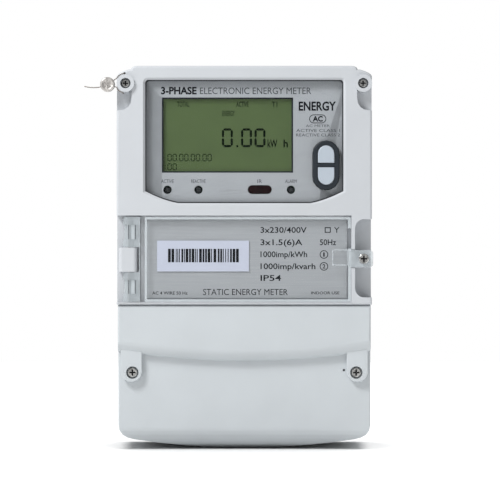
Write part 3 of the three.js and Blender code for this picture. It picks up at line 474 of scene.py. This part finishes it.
def write(bm, text, left, right, bottom, height, surface, weight=0.0):
    """Lettering that faces the viewer, from one X to another, standing on a line, with a cap height."""
    mesh = letters(text, weight)
    low, high = extent(mesh, 0)
    across = (right - left) / (high - low)
    up = height / CAP
    shift = Matrix.Translation((-low, 0, 0))
    scale = Matrix.Diagonal((across * MM, up * MM, INK_THICKNESS * MM, 1))
    turn = Matrix.Rotation(math.pi / 2, 4, "X")
    place = Matrix.Translation(at(left, surface - INK_LIFT, bottom))
    mesh.transform(place @ turn @ scale @ shift)
    bm.from_mesh(mesh)
    bpy.data.meshes.remove(mesh)


def ink_slab(bm, outline, surface):
    slab(bm, outline, surface - INK_LIFT, surface - INK_LIFT - INK_THICKNESS)


def ink_band(bm, outer, inner, surface):
    band(bm, outer, inner, surface - INK_LIFT, surface - INK_LIFT - INK_THICKNESS)


# ---------- the display ----------
def zero(bm, x, z, width, height, stroke, surface):
    """A seven-segment nought whose lower left corner is at x, z; letters name its segments."""
    gap = stroke * 0.12
    half = height / 2
    tip = stroke / 2
    far = x + width - stroke
    columns = {"f": (x, z + half), "e": (x, z), "b": (far, z + half), "c": (far, z)}
    rows = {"d": z, "a": z + height - stroke}
    for name in "abcdef":
        if name in rows:
            low = rows[name]
            left = x + tip + gap
            right = x + width - tip - gap
            outline = [(left, low + tip), (left + tip, low), (right - tip, low),
                       (right, low + tip), (right - tip, low + stroke), (left + tip, low + stroke)]
        else:
            left, low = columns[name]
            bottom = low + gap + (tip if name in "ec" else 0)
            top = low + half - gap - (tip if name in "fb" else 0)
            outline = [(left + tip, bottom), (left + stroke, bottom + tip), (left + stroke, top - tip),
                       (left + tip, top), (left, top - tip), (left, bottom + tip)]
        ink_slab(bm, outline, surface)


def make_display():
    on = bmesh.new()
    for x in (-15, -2.2, 6.8):
        zero(on, x, 73.8, 7.35, 12.6, 1.5, GLASS_FRONT)
    ink_slab(on, ring_outline(-4.7, 74.5, 0.75, 12), GLASS_FRONT)
    write(on, "kW", 15.5, 22.1, 73.8, 5, GLASS_FRONT, weight=0.02)
    write(on, "h", 26.2, 29.1, 73.8, 5, GLASS_FRONT, weight=0.02)
    finish_piece(on, "display_segments", "segment_on")

    dim = bmesh.new()
    for pair in range(4):
        left = -51.4 + 7.8 * pair
        for k in (0, 1):
            zero(dim, left + 3.4 * k, 64.4, 2.9, 5, 0.62, GLASS_FRONT)
        if pair < 3:
            ink_slab(dim, ring_outline(left + 7, 64.7, 0.3, 8), GLASS_FRONT)
    for k in (0, 1):
        zero(dim, -51.4 + 3.4 * k, 58.4, 2.9, 4.6, 0.62, GLASS_FRONT)
        ink_slab(dim, ring_outline(-52.8, 59.6 + 1.9 * k, 0.3, 8), GLASS_FRONT)
    write(dim, "TOTAL", -44.9, -36.7, 100.8, 3.4, GLASS_FRONT, weight=0.02)
    write(dim, "ACTIVE", -5.4, 2.9, 100.8, 3.4, GLASS_FRONT, weight=0.02)
    write(dim, "T1", 18.4, 22.1, 100.8, 3.4, GLASS_FRONT, weight=0.02)
    write(dim, "ENERGY", -14.7, -6.3, 94.7, 3.4, GLASS_FRONT, weight=0.02)
    finish_piece(dim, "display_annunciators", "segment_dim")


# ---------- printing ----------
def make_panel_print():
    ink = bmesh.new()
    write(ink, "3-PHASE", -55.6, -31.8, 109.2, 4.5, PANEL_FRONT, weight=0.035)
    write(ink, "ENERGY", 36.3, 61.2, 98.3, 5.6, PANEL_FRONT, weight=0.03)
    ink_band(ink, pill_outline(49, 92.6, 11.4, 5.9), pill_outline(49, 92.6, 10.4, 4.9), PANEL_FRONT)
    write(ink, "AC", 45.6, 52.4, 91, 3.3, PANEL_FRONT, weight=0.04)
    finish_piece(ink, "panel_print_bold", "ink")

    fine = bmesh.new()
    write(fine, "ELECTRONIC ENERGY METER", -29.6, 44.6, 109.2, 4.3, PANEL_FRONT)
    write(fine, "AC METER", 41, 57, 87.2, 1.6, PANEL_FRONT)
    write(fine, "ACTIVE CLASS 1", 34.6, 63.8, 83.9, 1.9, PANEL_FRONT)
    write(fine, "REACTIVE CLASS 2", 34.6, 63.8, 80.9, 1.9, PANEL_FRONT)
    for text, x, half in (
        ("ACTIVE", -51.3, 4.2),
        ("REACTIVE", -30.6, 4.8),
        ("IR", 10.3, 1.6),
        ("ALARM", 31.1, 3.9),
    ):
        write(fine, text, x - half, x + half, 49.8, 2.4, PANEL_FRONT)
    finish_piece(fine, "panel_print_fine", "grey_ink_and_painted_shade")


def make_plate_print():
    ink = bmesh.new()
    height = 3.7
    for text, right, bottom in (
        ("3x230/400V", 41.6, 16.6),
        ("3x1.5(6)A", 38.7, 8.4),
        ("1000imp/kWh", 41.9, 0.4),
        ("1000imp/kvarh", 47.4, -7.6),
        ("IP54", 24.5, -15.4),
    ):
        write(ink, text, 10.8, right, bottom, height, PLATE_FRONT, weight=0.012)
    write(ink, "50Hz", 50.4, 61.2, 8.4, height, PLATE_FRONT, weight=0.012)
    write(ink, "Y", 59.8, 63.4, 16.6, height, PLATE_FRONT)
    ink_band(ink, bar(53.6, 57.6, 16.6, 20.3), bar(54.2, 57, 17.2, 19.7), PLATE_FRONT)
    for number, z in (("1", 2.1), ("2", -5.8)):
        ink_band(ink, ring_outline(53.1, z, 2.8), ring_outline(53.1, z, 2.3), PLATE_FRONT)
        half = 0.5 if number == "1" else 0.95
        write(ink, number, 53.1 - half, 53.1 + half, z - 1.35, 2.7, PLATE_FRONT, weight=0.02)
    write(ink, "STATIC ENERGY METER", -27.5, 29, -24.9, 4, PLATE_FRONT)
    write(ink, "AC 4 WIRE 50 Hz", -61.4, -37.8, -24.6, 2, PLATE_FRONT, weight=0.01)
    write(ink, "INDOOR USE", 44.6, 63.4, -24.4, 1.8, PLATE_FRONT, weight=0.01)
    finish_piece(ink, "plate_print", "ink")


def make_bar_code():
    """Bars one to three modules wide with narrow gaps, from a seeded sequence that encodes nothing."""
    ink = bmesh.new()
    sequence = random.Random(7)
    module = 0.6
    gap = 0.5
    x = -50.8
    right = -2.4
    while x < right - 3 * module:
        width = sequence.choice((1, 2, 3, 3)) * module
        ink_slab(ink, bar(x, min(x + width, right), -3.1, 5.9), LABEL_FRONT)
        x += width + sequence.choice((1, 1, 2)) * gap
    finish_piece(ink, "label_bars", "ink")


def make_terminal_numbers():
    paint = bmesh.new()
    for i in range(10):
        x = (i - 4.5) * 13.2
        half = 0.9 if i < 9 else 1.9
        write(paint, str(i + 1), x - half, x + half, -63.8, 2.8, BLOCK_FRONT, weight=0.02)
    finish_piece(paint, "terminal_numbers", "ink_white")


# ---------- window, lamps and sensor ----------
def make_painted_groove_shade():
    """Painted shade: a dark strip round the joint between the clear window and the cover, where the
    groove's shadow falls.
    """
    bm = bmesh.new()
    # Painted shade along the window's edge, standing in for the groove's shadow.
    band(bm, window_outline(-0.03), window_outline(-0.85), LENS_FRONT + 0.1, LENS_FRONT - 0.25)
    finish_piece(bm, "window_painted_groove_shade", "gasket")


def make_sensor_rings():
    """The emitter and the receiver behind the infrared window."""
    bm = bmesh.new()
    z = 45.4
    back = PANEL_FRONT - 0.02
    front = PANEL_FRONT - 0.12
    for x in (6, 14.6):
        band(bm, ring_outline(x, z, 1.9), ring_outline(x, z, 1.55), back, front)
        slab(bm, ring_outline(x, z, 0.7, 16), back, front)
    finish_piece(bm, "sensor_rings", "infrared_red")


# ---------- door ----------
KNUCKLE_MIDDLES = ((12.3, 21.7), (-24.1, -15))  # the set-back stretches between the knuckle ends, by height
KNUCKLE_FRONT = -74


def make_door_painted_highlights_and_outline():
    """Painted highlights: the light line that the pane's thick edge shows all round, and a light stripe
    down each knuckle; also the raised outline by the tab, and painted shade lines on the knuckles.
    """
    bm = bmesh.new()
    front = DOOR_FRONT - 0.12
    slot_bottom = 6.1
    slot_top = 19.6
    left_inner = DOOR["left"] + 1.4
    right_inner = DOOR["right"] - 1.9
    top_inner = DOOR["top"] - 1.5
    bottom_inner = DOOR["bottom"] + 1.6
    # Painted highlights: light bands along the pane's thick clear edge.
    for outline in (
        bar(DOOR["left"], DOOR["right"], top_inner, DOOR["top"]),
        bar(DOOR["left"], DOOR["right"], DOOR["bottom"], bottom_inner),
        bar(DOOR["left"], left_inner, bottom_inner, top_inner),
        bar(right_inner, DOOR["right"], bottom_inner, slot_bottom),
        bar(right_inner, DOOR["right"], slot_top, top_inner),
    ):
        slab(bm, outline, DOOR_FRONT - 0.02, front)
    band(bm, bar(58.5, 68.8, -5.1, 5.4), bar(59, 68.3, -4.6, 4.9), DOOR_FRONT - 0.02, front)
    # Painted highlight: a light stripe down the middle stretch of each knuckle.
    for bottom, top in KNUCKLE_MIDDLES:
        slab(bm, bar(-75.2, -73, bottom, top), KNUCKLE_FRONT - 0.02, KNUCKLE_FRONT - 0.12)
    finish_piece(bm, "door_painted_highlights_and_outline", "clear_line_and_painted_highlight", body="door")
    # Painted shade: thin dark lines down the middle stretch of each knuckle.
    dark = bmesh.new()
    for bottom, top in KNUCKLE_MIDDLES:
        for x in (-77, -72.6, -70.6):
            slab(dark, bar(x - 0.2, x + 0.2, bottom, top), KNUCKLE_FRONT - 0.02, KNUCKLE_FRONT - 0.1)
    finish_piece(dark, "knuckle_painted_shade_lines", "grey_ink_and_painted_shade", body="door")


# ---------- painted shade in the cross recesses of the screws ---
RECESS_DEPTH = 1.1


def paint_recess_shade():
    """Painted shade: dark slabs at the bottoms of the cross recesses in the screws that show, where shade
    falls.
    """
    for name, body in (
        ("cover_screw_left", "base"),
        ("cover_screw_right", "cover_screw_right"),
        ("door_screw", "door_screw"),
        ("terminal_cover_screw_left", "terminal_cover_screw_left"),
        ("terminal_cover_screw_right", "terminal_cover_screw_right"),
    ):
        low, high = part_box(name)
        x = (low[0] + high[0]) / 2 / MM
        z = (low[2] + high[2]) / 2 / MM
        radius = (high[0] - low[0]) / 2 / MM
        front = low[1] / MM
        half_length = radius * 0.61
        half_width = radius * 0.15
        across = bar(x - half_length, x + half_length, z - half_width, z + half_width)
        upright = bar(x - half_width, x + half_width, z - half_length, z + half_length)
        bm = bmesh.new()
        # Painted shade set into the recess, dark as the shade at its bottom.
        slab(bm, across, front + RECESS_DEPTH, front + 0.5)
        slab(bm, upright, front + RECESS_DEPTH, front + 0.55)
        finish_piece(bm, name + "_recess", "painted_recess_shade", body=body)


# ---------- lead seal and its wire ----------
SEAL = {"x": -90.9, "y": -75.9, "z": 115.1}
BOSS = {"x": -79.1, "z": 116.1}
LOOP_RADIUS = 6.6  # of the wire round the boss


def lathe(bm, profile, centre, sides=48):
    """Turns a profile of (radius, Y) points round the Y axis through a centre."""
    rings = []
    for radius, y in profile:
        if radius == 0:
            rings.append([bm.verts.new(at(centre[0], centre[1] + y, centre[2]))])
            continue
        ring = []
        for i in range(sides):
            angle = 2 * math.pi * i / sides
            ring.append(bm.verts.new(at(
                centre[0] + radius * math.cos(angle), centre[1] + y, centre[2] + radius * math.sin(angle))))
        rings.append(ring)
    for a, b in zip(rings, rings[1:]):
        for i in range(sides):
            j = (i + 1) % sides
            corners = [a[i % len(a)], a[j % len(a)], b[j % len(b)], b[i % len(b)]]
            bm.faces.new(list(dict.fromkeys(corners)))


def make_seal():
    bm = bmesh.new()
    face = [
        (0, -1.15), (1.2, -1.2), (2.6, -1.15), (3, -1.3),
        (3.4, -1.65), (4, -1.75), (4.6, -1.5), (4.95, -0.8),
    ]
    profile = face + [(radius, -y) for radius, y in reversed(face)]
    lathe(bm, profile, (SEAL["x"], SEAL["y"], SEAL["z"]))
    for vertex in bm.verts:
        angle = math.atan2(vertex.co.z / MM - SEAL["z"], vertex.co.x / MM - SEAL["x"])
        vertex.co.y += 0.09 * MM * math.sin(5 * angle + 1)
    disc = finish_piece(bm, "seal_lead", "lead", smooth=True)
    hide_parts("seal_disc")
    marks = bmesh.new()
    for left, right, bottom, top in (
        (-1.8, -1.2, -1.4, 1.5),
        (-0.6, 1.7, 0.7, 1.3),
        (-0.4, 1.6, -1.1, -0.5),
        (-0.1, 0.5, -0.9, 1),
    ):
        outline = bar(SEAL["x"] + left, SEAL["x"] + right, SEAL["z"] + bottom, SEAL["z"] + top)
        slab(marks, outline, SEAL["y"] - 0.9, SEAL["y"] - 1.42)
    finish_piece(marks, "seal_marks", "lead")


def round_boss(degrees):
    angle = math.radians(degrees)
    return (BOSS["x"] + LOOP_RADIUS * math.cos(angle), SEAL["y"], BOSS["z"] + LOOP_RADIUS * math.sin(angle))


def in_seal_plane(points):
    return [(x, SEAL["y"], z) for x, z in points]


def seal_routes():
    """The wire's middle lines: tail, lead, over the boss and into the cover; and back from the notch."""
    over = in_seal_plane(((-106.4, 113.9), (-103, 113.3), (-99.6, 113.1), (-96.3, 113.4), (-93.5, 114.3)))
    over += in_seal_plane(((-90.5, 115.5), (-87.6, 117.3)))
    over += [round_boss(degrees) for degrees in (148, 135, 120, 106)]
    top = BOSS["z"] + LOOP_RADIUS
    over += [(BOSS["x"] - 0.6, SEAL["y"] + 1, top), (BOSS["x"] - 0.3, SEAL["y"] + 3, top)]
    back = in_seal_plane(((-89.4, 114.4), (-87.4, 114)))
    back += [round_boss(degrees) for degrees in (205, 220, 235, 248)]
    low = BOSS["z"] - LOOP_RADIUS
    back += [(BOSS["x"] - 1.6, SEAL["y"] + 1.2, low), (BOSS["x"] - 1.4, SEAL["y"] + 3.4, low)]
    return (("seal_wire", over), ("seal_wire_return", back))


def smooth_route(points, steps):
    """Catmull-Rom points through a route."""
    ends = [points[0] * 2 - points[1]] + points + [points[-1] * 2 - points[-2]]
    route = []
    for k in range(len(points) - 1):
        a, b, c, d = ends[k:k + 4]
        for i in range(steps):
            t = i / steps
            route.append(0.5 * (b * 2 + (c - a) * t + (a * 2 - b * 5 + c * 4 - d) * t * t
                                + (b * 3 - a - c * 3 + d) * t * t * t))
    route.append(points[-1])
    return route


def make_seal_wire(name, points):
    """Two strands twisted round each other."""
    bm = bmesh.new()
    route = smooth_route([Vector(point) for point in points], 10)
    strand_radius = 0.23
    pitch = 2.6
    sides = 6
    for phase in (0, math.pi):
        rings = []
        along = 0
        for i, point in enumerate(route):
            ahead = (route[min(i + 1, len(route) - 1)] - route[max(i - 1, 0)]).normalized()
            if i:
                along += (point - route[i - 1]).length
            other = ahead.cross(Vector((0, 1, 0.001))).normalized()
            across = other.cross(ahead)
            turn = phase + 2 * math.pi * along / pitch
            centre = point + (across * math.cos(turn) + other * math.sin(turn)) * strand_radius
            ring = []
            for k in range(sides):
                angle = 2 * math.pi * k / sides
                spot = centre + (across * math.cos(angle) + other * math.sin(angle)) * strand_radius
                ring.append(bm.verts.new(spot * MM))
            rings.append(ring)
        for a, b in zip(rings, rings[1:]):
            for k in range(sides):
                j = (k + 1) % sides
                bm.faces.new((a[k], a[j], b[j], b[k]))
        bm.faces.new(rings[0])
        bm.faces.new(list(reversed(rings[-1])))
    wire = finish_piece(bm, name + "_strands", "seal_wire_steel", smooth=True)
    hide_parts(name)


make_camera()
make_light(make_floor())
dress_nodes()
make_display()
make_panel_print()
make_plate_print()
make_bar_code()
make_terminal_numbers()
make_painted_groove_shade()
make_sensor_rings()
make_door_painted_highlights_and_outline()
paint_recess_shade()
make_seal()
for name, points in seal_routes():
    make_seal_wire(name, points)
